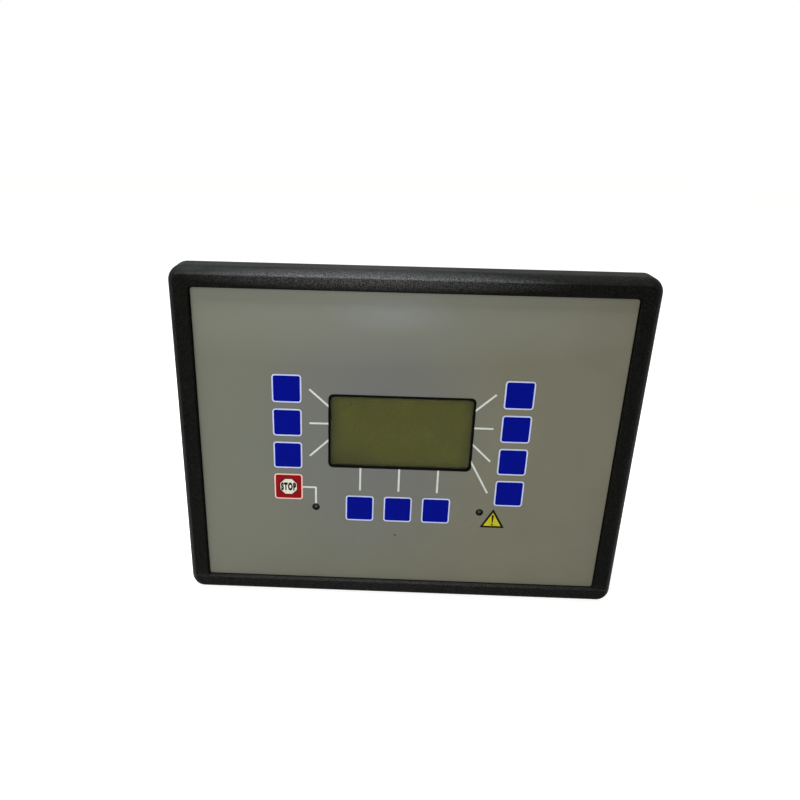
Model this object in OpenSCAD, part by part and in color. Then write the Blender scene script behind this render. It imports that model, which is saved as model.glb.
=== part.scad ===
// Panel-mounted genset controller: a moulded bezel with a keypad overlay and a display
// in front of the panel, a housing with boards and plug-in terminals behind it.
// Origin in the middle of the panel cut-out, on the panel's front plane.
// +X to the right seen from the front, +Y into the cabinet, +Z up. Millimetres.

/* [Bezel] */
// Width of the bezel
front_w = 282; // [279:1:300]
// Height of the bezel
front_h = 217; // [214:1:235]
// How far the bezel stands in front of the panel
front_d = 19; // [18:0.5:24]
// Radius of the bezel's corners
corner_r = 9; // [7:0.5:14]
// How far in from the side the ridge of the rounded front edge lies
edge_w = 4.2; // [3:0.1:4.6]
// How far back from the rim the rounding of the front edge starts
edge_h = 8; // [6:0.1:9]
// Radius of the ridge between the rounded edge and the rim
ridge_r = 0.8; // [0.4:0.1:1.2]
// Wall of the moulded front frame
frame_wall = 3; // [2.5:0.1:3.4]
// Width of the rim at the left and right of the recessed front field
rim_side = 12.6; // [11:0.1:16]
// Width of the rim above and below the front field
rim_end = 11.3; // [10:0.1:13]
// Corner radius of the front field
field_r = 2; // [1:0.5:4]
// How deep the front field lies under the rim
recess = 2.6; // [1.8:0.1:4]
// Chamfer of the rim's inner edge
rim_bevel = 0.6; // [0.3:0.1:1]
// Thickness of the carrier plate behind the overlay
carrier_t = 3; // [2.6:0.1:4]
// Thickness of the keypad overlay
overlay_t = 0.8; // [0.6:0.1:1.2]

/* [Keypad] */
// Side of a square key
key_s = 18; // [14:0.5:20]
// Corner radius of a key
key_r = 2; // [0.6:0.1:3]
// Travel of a key
key_travel = 0.5; // [0.3:0.1:0.6]
// Gap around a key in the overlay
key_gap = 0.12; // [0.08:0.02:0.3]
// Sideways place of the middle of the keypad
keypad_x = -3.5; // [-6:0.5:6]
// Distance between the left and the right key column
column_step = 139.9; // [136:0.1:146]
// Height of the top row of keys
top_row_z = 36.8; // [30:0.1:42]
// Distance between the rows of the side columns
row_step = 22.05; // [21:0.05:23]
// Height of the bottom row of keys
bottom_row_z = -43.4; // [-48:0.1:-42]
// Distance between the keys of the bottom row
bottom_step = 24.4; // [22:0.1:28]
// Diameter of a plunger behind a key
plunger_d = 5; // [4:0.5:7]
// Distance of an indicator lamp from the middle of the keypad
lamp_x = 52.5; // [50:0.1:58]
// Diameter of a lamp hole
lamp_hole_d = 4.9; // [4:0.1:5.5]
// Diameter of a lamp lens
lamp_d = 3.2; // [2.6:0.1:3.6]
// How far the tip of a lamp lies under the overlay's face
lamp_sunk = 0.2; // [0:0.1:1]

/* [Display] */
// Width of the display window
window_w = 89.5; // [84:0.5:92]
// Height of the display window
window_h = 49; // [44:0.1:52]
// Corner radius of the display window
window_r = 3.3; // [2:0.1:4]
// Height of the middle of the display window
window_z = 9.65; // [6:0.05:12]
// Thickness of the window pane
pane_t = 1.6; // [1.2:0.1:2]
// Width of the dark border that covers the window's ledge
border_w = 1.2; // [1:0.1:2]
// Lip of the display frame around its clear area
lcd_lip = 3; // [2.4:0.1:4]
// Thickness of the display cell
cell_t = 2.4; // [1.8:0.1:3]
// Thickness of the back light
light_t = 3.8; // [3:0.1:5]

/* [Housing] */
// How far the bezel reaches past the housing at the left and right
flange_side = 17.5; // [16.5:0.25:21]
// How far the bezel reaches past the housing above and below
flange_end = 18; // [17:0.25:20.5]
// Corner radius of the housing
box_r = 4; // [3:0.5:6]
// Depth of the housing from the panel plane to the terminal shelves
shelf_d = 58; // [54:1:70]
// How far the hood stands behind the terminal shelves
hood_d = 19.5; // [17.5:0.5:34]
// Wall of the housing
box_wall = 2.5; // [2:0.1:3]
// Rounding of the rear cover's edge
cover_edge = 1.2; // [0.6:0.1:1.6]
// Thickness of the mounting flange
flange_t = 3; // [2.6:0.1:4]
// How far in from the housing's sides the hood over the main board lies
hood_in = 5.5; // [4.5:0.5:11]
// Room between the hood and a row of terminals
shelf_gap = 16.5; // [14.5:0.5:19.5]
// Corner radius of the hood
hood_r = 8; // [7:0.5:12]
// Rounding of the hood's rear edge
hood_edge = 4; // [2:0.5:6]
// Width of one vent slot
vent_w = 2.6; // [2:0.1:3.4]
// Length of one vent slot
vent_l = 34; // [24:1:40]
// Length of a clamp slot in the side walls
clamp_slot_l = 16; // [10:1:24]
// Width of a clamp slot
clamp_slot_w = 3.5; // [3:0.1:3.8]

/* [Panel fixing] */
// Room between the housing and the edge of the panel cut-out
cutout_gap = 1; // [0.5:0.1:1.5]
// Distance of the panel seal from the bezel's outer edge
seal_in = 5; // [4:0.5:6]
// Width of the panel seal
seal_w = 3.5; // [2.5:0.1:4]
// Depth of the panel seal
seal_t = 2; // [1.5:0.1:2.2]
// Bore of a threaded insert
insert_bore = 3.3; // [3:0.1:3.5]
// Outer diameter of a threaded insert
insert_d = 5.6; // [5:0.1:6]
// Length of a threaded insert
insert_l = 6; // [5:0.5:7]
// Outer pair of inserts in the top and bottom rows, from the bezel's sides
insert_corner = 23; // [21:1:29]
// Inner pair of inserts in the top and bottom rows, from the middle
insert_inner_x = 40; // [30:1:60]
// Inserts at the sides, from the middle
insert_side_z = 45; // [30:1:70]

/* [Terminals] */
// Distance of the terminal rows from the housing's upper and lower side
terminal_edge = 18.5; // [16.5:0.5:20.5]
// Height of a terminal header
header_h = 11; // [10:0.5:11]
// Wall of a terminal header
header_wall = 1.2; // [1:0.1:1.4]
// How far a header reaches out of the rear cover
header_out = 1.5; // [1:0.1:3]
// Pitch of the measuring terminals
measuring_pitch = 7.62; // [7:0.02:8]
// Distance between measuring terminals
measuring_step = 58; // [56:0.5:60]
// Pitch of the signal terminals
signal_pitch = 5.08; // [5:0.02:5.4]
// Distance between signal terminals
signal_step = 50; // [48:0.5:51]
// Height of a terminal plug
plug_h = 12; // [11:0.5:13]
// Depth of a terminal plug behind its header
plug_d = 14; // [12:0.5:15]
// Wire entry of a terminal, square
entry_s = 3.5; // [3:0.1:3.8]
// Diameter of a terminal screw
terminal_screw_d = 3.2; // [2.8:0.1:3.4]

/* [Boards] */
// Thickness of a circuit board
board_t = 1.6; // [1.2:0.1:2]
// Width of the front board
front_board_w = 176; // [174:1:190]
// Height of the front board
front_board_h = 110; // [108:1:120]
// Room between the carrier plate and the front board
front_board_gap = 4.6; // [4.4:0.1:6]
// Room between the main board and the terminal shelves
main_board_gap = 10.4; // [10:0.1:12]
// Room between the main board and the housing wall
main_board_edge = 1; // [0.5:0.1:2]
// Width of the ribbon cable between the boards
ribbon_w = 26; // [20:1:32]
// Thickness of the ribbon cable
ribbon_t = 1; // [0.8:0.1:1.2]
// Bend radius of the ribbon cable
ribbon_r = 6; // [4:0.5:8]

/* [Hidden] */
$fn = 64;
eps = 0.01;
// Room around a piece that is laid or pushed into another
slip = 0.15;
// Room around a screw's shank, and under its point
shank_gap = 0.1;
point_gap = 0.5;
// Smallest corner radius of a cut, and corner radii of small mouldings and of boards
min_r = 0.5;
part_r = 0.6;
board_r = 2;

// Levels of the front stack, measured towards the viewer from the panel plane
field_level = front_d - recess;
plate_level = field_level - overlay_t;
carrier_back = plate_level - carrier_t;
front_board_level = carrier_back - front_board_gap;
field_w = front_w - 2 * rim_side;
field_h = front_h - 2 * rim_end;
edge_arc_r = (edge_w * edge_w + edge_h * edge_h) / (2 * edge_w);
rim_cavity_in = frame_wall + edge_in(front_d - frame_wall);

// Keys: name, sideways place and height
left_x = keypad_x - column_step / 2;
right_x = keypad_x + column_step / 2;
side_rows = 4;
bottom_keys = 3;
key_stop_room = 0.2;
key_pocket = key_travel + key_stop_room;
plunger_gap = 0.3;
LEFT_KEYS = [for (i = [0 : side_rows - 2]) [str("left_key_", i + 1), left_x, top_row_z - i * row_step]];
STOP_KEY = ["stop_key", left_x, top_row_z - (side_rows - 1) * row_step];
RIGHT_KEYS = [for (i = [0 : side_rows - 1]) [str("right_key_", i + 1), right_x, top_row_z - i * row_step]];
BOTTOM_KEYS = [for (i = [0 : bottom_keys - 1])
    [str("bottom_key_", i + 1), keypad_x + (i - (bottom_keys - 1) / 2) * bottom_step, bottom_row_z]];
KEYS = concat(LEFT_KEYS, [STOP_KEY], RIGHT_KEYS, BOTTOM_KEYS);
lamp_rim = 0.4;
lamp_rim_t = 1;
LAMPS = [["stop_lamp", keypad_x - lamp_x, bottom_row_z], ["alarm_lamp", keypad_x + lamp_x, bottom_row_z]];

// Switches behind the keys
switch_s = 6;
switch_button_d = 3.4;
switch_button_h = 0.8;
switch_clear = 0.3;
switch_h = front_board_gap - switch_button_h - switch_clear;
plunger_end = front_board_level + switch_h + switch_button_h + key_travel + key_stop_room / 2;

// Display module behind the window
clear_w = window_w - 2 * border_w;
clear_h = window_h - 2 * border_w;
lcd_sheet = 0.8;
lcd_r = 1.5;
lcd_mask = 0.3;
lcd_w = clear_w + 2 * lcd_lip + 2 * lcd_sheet;
lcd_h = clear_h + 2 * lcd_lip + 2 * lcd_sheet;
cell_level = carrier_back - lcd_sheet;
light_level = cell_level - cell_t;
lcd_board_level = light_level - light_t;
lcd_post_r = 2.8;
lcd_post_gap = 1;
lcd_board_rim = 0.5;
lcd_post_x = lcd_w / 2 + lcd_post_r + lcd_post_gap;
lcd_post_z = lcd_h / 2 + lcd_post_r + lcd_post_gap;
lcd_board_w = 2 * (lcd_post_x + lcd_post_r + lcd_board_rim);
lcd_board_h = 2 * (lcd_post_z + lcd_post_r + lcd_board_rim);
lcd_board_room = 1;

// Front board, hung on posts of the carrier plate
front_board_z = (top_row_z + bottom_row_z) / 2;
board_post_r = 3;
board_post_in = 5;
board_post_x = front_board_w / 2 - board_post_in;
board_post_z = front_board_h / 2 - board_post_in;
BOARD_POSTS = [for (sx = [-1, 1], sz = [-1, 0, 1])
    [keypad_x + sx * board_post_x, front_board_z + sz * board_post_z]];
LCD_POSTS = [for (sx = [-1, 1], sz = [-1, 1])
    [keypad_x + sx * lcd_post_x, window_z + sz * lcd_post_z]];

// Panel fixing: inserts and frame screws lie midway between the cut-out and the seal
box_w = front_w - 2 * flange_side;
box_h = front_h - 2 * flange_end;
insert_outer_x = front_w / 2 - insert_corner;
fixing_x = (box_w / 2 + cutout_gap + front_w / 2 - seal_in - seal_w) / 2;
fixing_z = (box_h / 2 + cutout_gap + front_h / 2 - seal_in - seal_w) / 2;
insert_wall = 1.6;
insert_boss_r = insert_d / 2 + insert_wall;
insert_floor = 2;
insert_row = [-insert_outer_x, -insert_inner_x, insert_inner_x, insert_outer_x];
INSERTS = concat(
    [for (x = insert_row, s = [-1, 1]) [x, s * fixing_z]],
    [for (s = [-1, 1], z = [-insert_side_z, insert_side_z]) [s * fixing_x, z]]);
frame_screw_x = (insert_outer_x + insert_inner_x) / 2;
frame_post_r = 3.4;
FRAME_SCREWS = concat(
    [for (x = [-frame_screw_x, 0, frame_screw_x], s = [-1, 1]) [x, s * fixing_z]],
    [for (s = [-1, 1]) [s * fixing_x, 0]]);

// Housing and rear cover
inner_w = box_w - 2 * box_wall;
inner_h = box_h - 2 * box_wall;
cover_t = box_wall;
terminal_z = box_h / 2 - terminal_edge;
hood_w = box_w - 2 * hood_in;
hood_h = 2 * terminal_z - header_h - 2 * shelf_gap;
cover_out = shelf_d + cover_t;
rear_d = cover_out + hood_d;
cover_boss_r = 4.6;
boss_root = 0.6;
cover_boss_x = inner_w / 2 - cover_boss_r + boss_root;
cover_boss_z = inner_h / 2 - cover_boss_r + boss_root;
cover_boss_l = 40;
COVER_SCREWS = [for (x = [-cover_boss_x, 0, cover_boss_x], s = [-1, 1]) [x, s * cover_boss_z]];
vent_count = 9;
vent_land = 3.1;
vent_step = vent_w + vent_land;
vent_group_x = hood_w / 4;
wall_vent_l = 20;
clamp_slot_z = box_h / 4;
clamp_slot_d = 14;

// Hood: a collar in the cover's opening, held by hooks behind the cover
collar_w = hood_w - 2 * box_wall - 2 * slip;
collar_h = hood_h - 2 * box_wall - 2 * slip;
hook_l = 12;
hook_t = 1.4;
hook_out = 0.8;

// Main board on posts of the rear cover
main_board_back = shelf_d - main_board_gap;
main_board_front = main_board_back - board_t;
main_post_r = 3.2;
main_post_in = 29;
main_post_x = inner_w / 2 - main_post_in;
main_post_z = (hood_h / 2 + terminal_z - header_h / 2) / 2;
MAIN_POSTS = [for (x = [-main_post_x, 0, main_post_x], s = [-1, 1]) [x, s * main_post_z]];

// Terminal rows: sideways place, height, pitch and number of poles, beside the service socket
port_w = 16;
port_in = 5;
terminal_end = 1.5;
header_end = cover_out + header_out;
header_floor = 2;
measuring_count = 3;
measuring_poles = 6;
signal_count = floor((inner_w - port_w - 2 * port_in) / signal_step);
signal_poles = 8;
MEASURING = [for (i = [0 : measuring_count - 1])
    [(i - (measuring_count - 1) / 2) * measuring_step, terminal_z, measuring_pitch, measuring_poles]];
SIGNAL = [for (i = [0 : signal_count - 1])
    [(i - (signal_count - 1) / 2) * signal_step, -terminal_z, signal_pitch, signal_poles]];
TERMINALS = concat(MEASURING, SIGNAL);
plug_slope_d = 5.6;
plug_slope_h = 2.4;
entry_down = 2.4;
entry_l = 8;
screw_in = 4.2;
screw_level = header_end + screw_in;
screw_pocket = 3;
terminal_screw_h = 2.1;
screw_slot_w = 0.6;
screw_slot_t = 0.9;
TERMINAL_NAMES = concat(
    [for (i = [1 : measuring_count]) str("measuring_", i)], [for (i = [1 : signal_count]) str("signal_", i)]);

// Service socket beside the signal terminals
port_h = 13;
port_x = inner_w / 2 - port_w / 2 - port_in;
port_raise = 7;
port_z = port_raise - terminal_z;
port_wall = 2;

// Components on the boards
relay_size = [20, 15.4, 15.6];
relay_count = 6;
relay_step = 26;
component_z = hood_h / 4;
transformer_x = -78;
transformer_s = 24;
transformer_h = 21;
transformer_core_t = 9.6;
transformer_coil_d = 19.2;
transformer_yoke = 3;
transformer_count = 3;
transformer_step = 34;
capacitor_x = 40;
capacitor_d = 16;
capacitor_h = 24;
capacitor_gap = 4;
capacitor_count = 2;
score_l = 11;
score_w = 0.6;
score_t = 0.4;
chip_x = 47;
chip_z = 20;
chip_s = 24;
chip_t = 2;
choke_x = 87;
choke_r = 9;
choke_wire_r = 4;
socket_end = 3;
socket_w = ribbon_w + 2 * socket_end;
socket_h = 7;
socket_d = 8;
ribbon_raise = 8;
ribbon_flat = 18;
ribbon_front_z = bottom_row_z + ribbon_raise;
ribbon_main_z = ribbon_front_z + 2 * ribbon_r + ribbon_flat;

// Screws: shank diameter, length and head
small_screw = [2.5, 7, 4.6, 1.8];
large_screw = [3, 11, 5.6, 2.2];
flush_head_h = 1.6;
cross_w = 0.8;
cross_t = 0.9;
cross_rim = 0.8;

// Shapes are drawn as seen from the front, with height towards the viewer, and then stood up
module stand() rotate([90, 0, 0]) children();

module rounded_rect(w, h, r) {
    square([w - 2 * r, h], center = true);
    square([w, h - 2 * r], center = true);
    for (sx = [-1, 1], sy = [-1, 1])
        translate([sx * (w / 2 - r), sy * (h / 2 - r)]) circle(r);
}

// A plate with round corners between two levels
module slab(w, h, r, low, high) {
    translate([0, 0, low]) linear_extrude(high - low) rounded_rect(w, h, r);
}

// A ring between two rounded rectangles
module ring(w, h, r, width, low, high) {
    difference() {
        slab(w, h, r, low, high);
        slab(w - 2 * width, h - 2 * width, max(r - width, min_r), low - eps, high + eps);
    }
}

module post(p, r, low, high) translate([p[0], p[1], low]) cylinder(r = r, h = high - low);

// Half section through a block's side, with its front edge rounded
module side_profile(r, d, edge_r) {
    square([r, d - edge_r]);
    square([r - edge_r, d]);
    translate([r - edge_r, d - edge_r]) circle(edge_r);
}

// The same for the bezel: a wide arc, and a small radius, tangent to it and to the front, at the ridge
module ridge_profile(r, d, arc_r, arc_h) {
    ridge_x = r - arc_r + sqrt(pow(arc_r - ridge_r, 2) - pow(arc_h - ridge_r, 2));
    meet = ridge_r * (1 - (arc_h - ridge_r) / (arc_r - ridge_r));
    square([r, d - arc_h]);
    square([ridge_x, d]);
    translate([ridge_x, d - ridge_r]) circle(ridge_r);
    intersection() {
        translate([r - arc_r, d - arc_h]) circle(arc_r);
        translate([0, d - arc_h]) square([r, arc_h - meet]);
    }
}

// Sweeps a section, drawn outwards from the corner's centre, around a rounded rectangle
module swept(w, h, r) for (k = [0 : 3]) {
    across = k % 2 == 0 ? w : h;
    along = (k % 2 == 0 ? h : w) - 2 * r;
    rotate(90 * k) translate([across / 2 - r, along / 2, 0]) {
        rotate([90, 0, 0]) linear_extrude(along) children();
        rotate_extrude(angle = 90) children();
    }
}

// A block with round corners whose side has the section that is given
module crowned_block(w, h, d, r) {
    translate([-(w / 2 - r), -(h / 2 - r), 0]) cube([w - 2 * r, h - 2 * r, d]);
    swept(w, h, r) children();
}

// A screw with its head on the given level, its shank pointing towards the viewer
module pan_screw(p, s, level) translate([p[0], p[1], level]) difference() {
    union() {
        cylinder(d = s[0], h = s[1]);
        translate([0, 0, -s[3]]) cylinder(d = s[2], h = s[3]);
    }
    translate([0, 0, -s[3]]) cross_slot(s[2] - 2 * cross_rim);
}

// Cross recess of a screw head, cut from the level of the head's top
module cross_slot(l) for (a = [0, 90])
    rotate(a) translate([-l / 2, -cross_w / 2, -eps]) cube([l, cross_w, cross_t]);

// A flush screw whose cone fills its countersink
module flush_screw_shape(s, grow) {
    cylinder(d = s[0] + grow, h = s[1]);
    cylinder(d1 = s[2] + grow, d2 = s[0] + grow, h = flush_head_h);
}

// How far the rounded front edge lies in from the bezel's side at a level
function edge_in(level) = edge_arc_r - sqrt(pow(edge_arc_r, 2) - pow(level - front_d + edge_h, 2));

module front_frame() color([0.08, 0.08, 0.08]) stand() difference() {
    union() {
        difference() {
            crowned_block(front_w, front_h, front_d, corner_r)
                ridge_profile(corner_r, front_d, edge_arc_r, edge_h);
            slab(field_w, field_h, field_r, plate_level, front_d + 1);
            swept(field_w, field_h, field_r) polygon([
                [field_r - eps, front_d - rim_bevel - eps], [field_r + rim_bevel + 1, front_d + 1],
                [field_r - eps, front_d + 1]]);
            slab(front_w - 2 * frame_wall, front_h - 2 * frame_wall, corner_r - frame_wall, -1, carrier_back);
            difference() {
                slab(front_w - 2 * rim_cavity_in, front_h - 2 * rim_cavity_in, corner_r - rim_cavity_in,
                    carrier_back - eps, front_d - frame_wall);
                slab(field_w + 2 * frame_wall, field_h + 2 * frame_wall, field_r + frame_wall,
                    carrier_back - 1, front_d);
            }
            display_hole();
            for (k = KEYS) translate([k[1], k[2], 0]) {
                slab(key_s + 4 * key_gap, key_s + 4 * key_gap, key_r + 2 * key_gap,
                    plate_level - key_pocket, plate_level + eps);
                post([0, 0], plunger_d / 2 + plunger_gap, carrier_back - 1, plate_level + 1);
            }
            for (l = LAMPS) post([l[1], l[2]], lamp_hole_d / 2, carrier_back - 1, plate_level + 1);
        }
        for (p = BOARD_POSTS) post(p, board_post_r, front_board_level, carrier_back + eps);
        for (p = LCD_POSTS) post(p, lcd_post_r, lcd_board_level, carrier_back + eps);
        for (p = FRAME_SCREWS) post(p, frame_post_r, flange_t, carrier_back + eps);
    }
    for (p = BOARD_POSTS) screw_hole(p, small_screw, front_board_level, board_t);
    for (p = LCD_POSTS) screw_hole(p, small_screw, lcd_board_level, board_t);
    for (p = FRAME_SCREWS) screw_hole(p, large_screw, flange_t, flange_t);
}

// Blind hole in a post for the part of a screw that passes what it holds
module screw_hole(p, s, level, held) shank_hole(p, s, level - eps, level + s[1] - held + point_gap);

module shank_hole(p, s, low, high) post(p, s[0] / 2 + shank_gap, low, high);

module display_hole() translate([keypad_x, window_z, 0]) {
    slab(window_w, window_h, window_r, field_level - pane_t, front_d);
    slab(clear_w, clear_h, max(window_r - border_w, min_r), carrier_back - 1, front_d);
}

module front_overlay() color([0.46, 0.46, 0.42]) stand() translate([0, 0, plate_level])
    linear_extrude(overlay_t) difference() {
        rounded_rect(field_w - 2 * slip, field_h - 2 * slip, field_r);
        translate([keypad_x, window_z]) rounded_rect(window_w, window_h, window_r);
        for (k = KEYS)
            translate([k[1], k[2]])
                rounded_rect(key_s + 2 * key_gap, key_s + 2 * key_gap, key_r + key_gap);
        for (l = LAMPS) translate([l[1], l[2]]) circle(d = lamp_hole_d);
    }

module display_window() color([0.4, 0.42, 0.35, 0.5]) stand() translate([keypad_x, window_z, 0])
    slab(window_w - 2 * slip, window_h - 2 * slip, window_r - slip, field_level - pane_t, field_level);

module push_key(k) color(k[0] == "stop_key" ? [0.55, 0.06, 0.08] : [0.02, 0.07, 0.55])
    stand() translate([k[1], k[2], 0]) {
        slab(key_s, key_s, key_r, plate_level, field_level);
        translate([0, 0, plunger_end]) cylinder(d = plunger_d, h = plate_level - plunger_end + eps);
    }

module lamp(l) color([0.2, 0.2, 0.19]) stand() translate([l[1], l[2], front_board_level]) {
    stem = field_level - lamp_sunk - front_board_level - lamp_d / 2;
    cylinder(d = lamp_d, h = stem);
    translate([0, 0, stem]) intersection() {
        sphere(d = lamp_d);
        translate([-lamp_d, -lamp_d, 0]) cube(2 * lamp_d);
    }
    cylinder(d = lamp_d + 2 * lamp_rim, h = lamp_rim_t);
}

module display_frame() color([0.05, 0.05, 0.05]) stand() translate([keypad_x, window_z, 0]) difference() {
    slab(lcd_w, lcd_h, lcd_r, lcd_board_level, carrier_back);
    slab(lcd_w - 2 * lcd_sheet, lcd_h - 2 * lcd_sheet, lcd_r - lcd_sheet, lcd_board_level - eps, cell_level);
    slab(clear_w + 2 * lcd_mask, clear_h + 2 * lcd_mask, lcd_r - lcd_sheet, cell_level - 1, carrier_back + 1);
}

// A flat layer of the display, laid inside its frame
module display_layer(low, high) translate([keypad_x, window_z, 0])
    slab(lcd_w - 2 * lcd_sheet - 2 * slip, lcd_h - 2 * lcd_sheet - 2 * slip, lcd_r - lcd_sheet - slip,
        low, high);

module display_cell() color([0.33, 0.34, 0.18]) stand() display_layer(light_level, cell_level);

module display_back_light() color([0.9, 0.9, 0.86]) stand() display_layer(lcd_board_level, light_level);

module display_board() color([0.05, 0.3, 0.14]) stand() difference() {
    translate([keypad_x, window_z, 0])
        slab(lcd_board_w, lcd_board_h, board_r, lcd_board_level - board_t, lcd_board_level);
    for (p = LCD_POSTS) shank_hole(p, small_screw, lcd_board_level - board_t - 1, lcd_board_level + 1);
}

module display_screws() color("silver") stand()
    for (p = LCD_POSTS) pan_screw(p, small_screw, lcd_board_level - board_t);

module front_board() color([0.05, 0.3, 0.14]) stand() difference() {
    translate([keypad_x, front_board_z, 0])
        slab(front_board_w, front_board_h, board_r, front_board_level - board_t, front_board_level);
    translate([keypad_x, window_z, 0])
        slab(lcd_board_w + 2 * lcd_board_room, lcd_board_h + 2 * lcd_board_room, board_r,
            front_board_level - board_t - 1, front_board_level + 1);
    for (p = BOARD_POSTS) shank_hole(p, small_screw, front_board_level - board_t - 1, front_board_level + 1);
}

module key_switches() color([0.12, 0.12, 0.12]) stand() for (k = KEYS)
    translate([k[1], k[2], front_board_level]) {
        slab(switch_s, switch_s, part_r, 0, switch_h);
        cylinder(d = switch_button_d, h = switch_h + switch_button_h);
    }

module front_board_screws() color("silver") stand()
    for (p = BOARD_POSTS) pan_screw(p, small_screw, front_board_level - board_t);

module mounting_flange() color([0.1, 0.1, 0.1]) stand() difference() {
    union() {
        slab(front_w - 2 * frame_wall - 2 * slip, front_h - 2 * frame_wall - 2 * slip,
            corner_r - frame_wall - slip, 0, flange_t);
        for (p = INSERTS) post(p, insert_boss_r, 0, insert_l + insert_floor);
    }
    slab(box_w + 2 * slip, box_h + 2 * slip, box_r + slip, -1, flange_t + 1);
    ring(front_w - 2 * seal_in, front_h - 2 * seal_in, corner_r - seal_in, seal_w, -eps, seal_t);
    for (p = INSERTS) post(p, insert_d / 2, -eps, insert_l);
    for (p = FRAME_SCREWS) translate([p[0], p[1], -eps]) flush_screw_shape(large_screw, 2 * shank_gap);
}

module housing_body() color([0.1, 0.1, 0.1]) stand() difference() {
    slab(box_w, box_h, box_r, -shelf_d, flange_t);
    difference() {
        slab(inner_w, inner_h, box_r - box_wall, -shelf_d - 1, flange_t + 1);
        for (p = COVER_SCREWS) post(p, cover_boss_r, -shelf_d - 2, cover_boss_l - shelf_d);
    }
    for (p = COVER_SCREWS) screw_hole(p, large_screw, -shelf_d, cover_t);
    for (s = [-1, 1], z = [-clamp_slot_z, clamp_slot_z])
        translate([s * (box_w / 2 - box_wall / 2), z, -clamp_slot_d])
            cube([box_wall + 1, clamp_slot_l, clamp_slot_w], center = true);
    for (s = [-1, 1], g = [-1, 1], i = [0 : vent_count - 1])
        translate([vent_x(g, i), s * (box_h / 2 - box_wall / 2), -shelf_d / 2])
            cube([vent_w, box_wall + 1, wall_vent_l], center = true);
}

// Sideways place of one vent slot of the left or the right group
function vent_x(group, i) = group * vent_group_x + (i - (vent_count - 1) / 2) * vent_step;

module panel_seal() color([0.15, 0.15, 0.15]) stand()
    ring(front_w - 2 * seal_in, front_h - 2 * seal_in, corner_r - seal_in, seal_w, 0, seal_t);

module threaded_inserts() color([0.75, 0.6, 0.25]) stand() for (p = INSERTS) difference() {
    post(p, insert_d / 2, 0, insert_l);
    post(p, insert_bore / 2, -1, insert_l + 1);
}

module frame_screws() color("silver") stand() for (p = FRAME_SCREWS) translate([p[0], p[1], 0])
    difference() {
        flush_screw_shape(large_screw, 0);
        cross_slot(large_screw[2] - 3 * cross_rim);
    }

module rear_cover() color([0.1, 0.1, 0.1]) stand() difference() {
    union() {
        translate([0, 0, -shelf_d]) rotate([0, 180, 0])
            crowned_block(box_w, box_h, cover_t, box_r) side_profile(box_r, cover_t, cover_edge);
        for (p = MAIN_POSTS) post(p, main_post_r, -shelf_d - eps, -main_board_back);
    }
    slab(hood_w - 2 * box_wall, hood_h - 2 * box_wall, hood_r - box_wall, -cover_out - 1, -shelf_d + 1);
    for (t = TERMINALS) cover_window(t, [terminal_length(t), header_h]);
    cover_window([port_x, port_z], [port_w, port_h]);
    for (p = COVER_SCREWS) shank_hole(p, large_screw, -cover_out - 1, -shelf_d + 1);
    for (p = MAIN_POSTS) screw_hole_back(p, large_screw, -main_board_back, board_t);
}

// Rectangular window in the cover for a connector
module cover_window(p, size) translate([p[0], p[1], -cover_out - 1])
    linear_extrude(cover_t + 2) square([size[0] + 2 * slip, size[1] + 2 * slip], center = true);

// Blind hole for a screw that comes from the front
module screw_hole_back(p, s, level, held) shank_hole(p, s, level - s[1] + held - point_gap, level + eps);

module rear_hood() color([0.1, 0.1, 0.1]) stand() difference() {
    union() {
        translate([0, 0, -cover_out]) rotate([0, 180, 0])
            crowned_block(hood_w, hood_h, rear_d - cover_out, hood_r)
                side_profile(hood_r, rear_d - cover_out, hood_edge);
        slab(collar_w, collar_h, hood_r - box_wall - slip, -cover_out - eps, hook_t - shelf_d);
        for (x = [-vent_group_x, vent_group_x])
            translate([x - hook_l / 2, -collar_h / 2 - hook_out, -shelf_d])
                cube([hook_l, collar_h + 2 * hook_out, hook_t]);
    }
    slab(hood_w - 4 * box_wall, hood_h - 4 * box_wall, hood_r - 2 * box_wall, box_wall - rear_d, 1);
    for (g = [-1, 1], i = [0 : vent_count - 1])
        translate([vent_x(g, i), 0, -rear_d]) cube([vent_w, vent_l, 4 * box_wall], center = true);
}

module cover_screws() color("silver") stand() for (p = COVER_SCREWS) pan_screw(p, large_screw, -cover_out);

module main_board() color([0.05, 0.3, 0.14]) stand() difference() {
    slab(inner_w - 2 * main_board_edge, inner_h - 2 * main_board_edge, board_r,
        -main_board_back, -main_board_front);
    for (p = COVER_SCREWS)
        post(p, cover_boss_r + main_board_edge, -main_board_back - 1, -main_board_front + 1);
    for (p = MAIN_POSTS) shank_hole(p, large_screw, -main_board_back - 1, -main_board_front + 1);
}

module main_board_screws() color("silver") stand() for (p = MAIN_POSTS)
    translate([0, 0, -2 * main_board_front]) mirror([0, 0, 1]) pan_screw(p, large_screw, -main_board_front);

module output_relays() color([0.1, 0.2, 0.5]) stand() for (i = [0 : relay_count - 1])
    translate([(i - (relay_count - 1) / 2) * relay_step, -component_z, 0])
        slab(relay_size[0], relay_size[1], part_r, -main_board_back - relay_size[2], -main_board_back);

module measuring_transformers() color([0.3, 0.3, 0.3]) stand() for (i = [0 : transformer_count - 1])
    translate([transformer_x + i * transformer_step, component_z, -main_board_back]) {
        translate([-transformer_s / 2, -transformer_core_t / 2, -transformer_h])
            cube([transformer_s, transformer_core_t, transformer_h]);
        translate([0, 0, transformer_yoke - transformer_h])
            cylinder(d = transformer_coil_d, h = transformer_h - 2 * transformer_yoke);
    }

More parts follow.
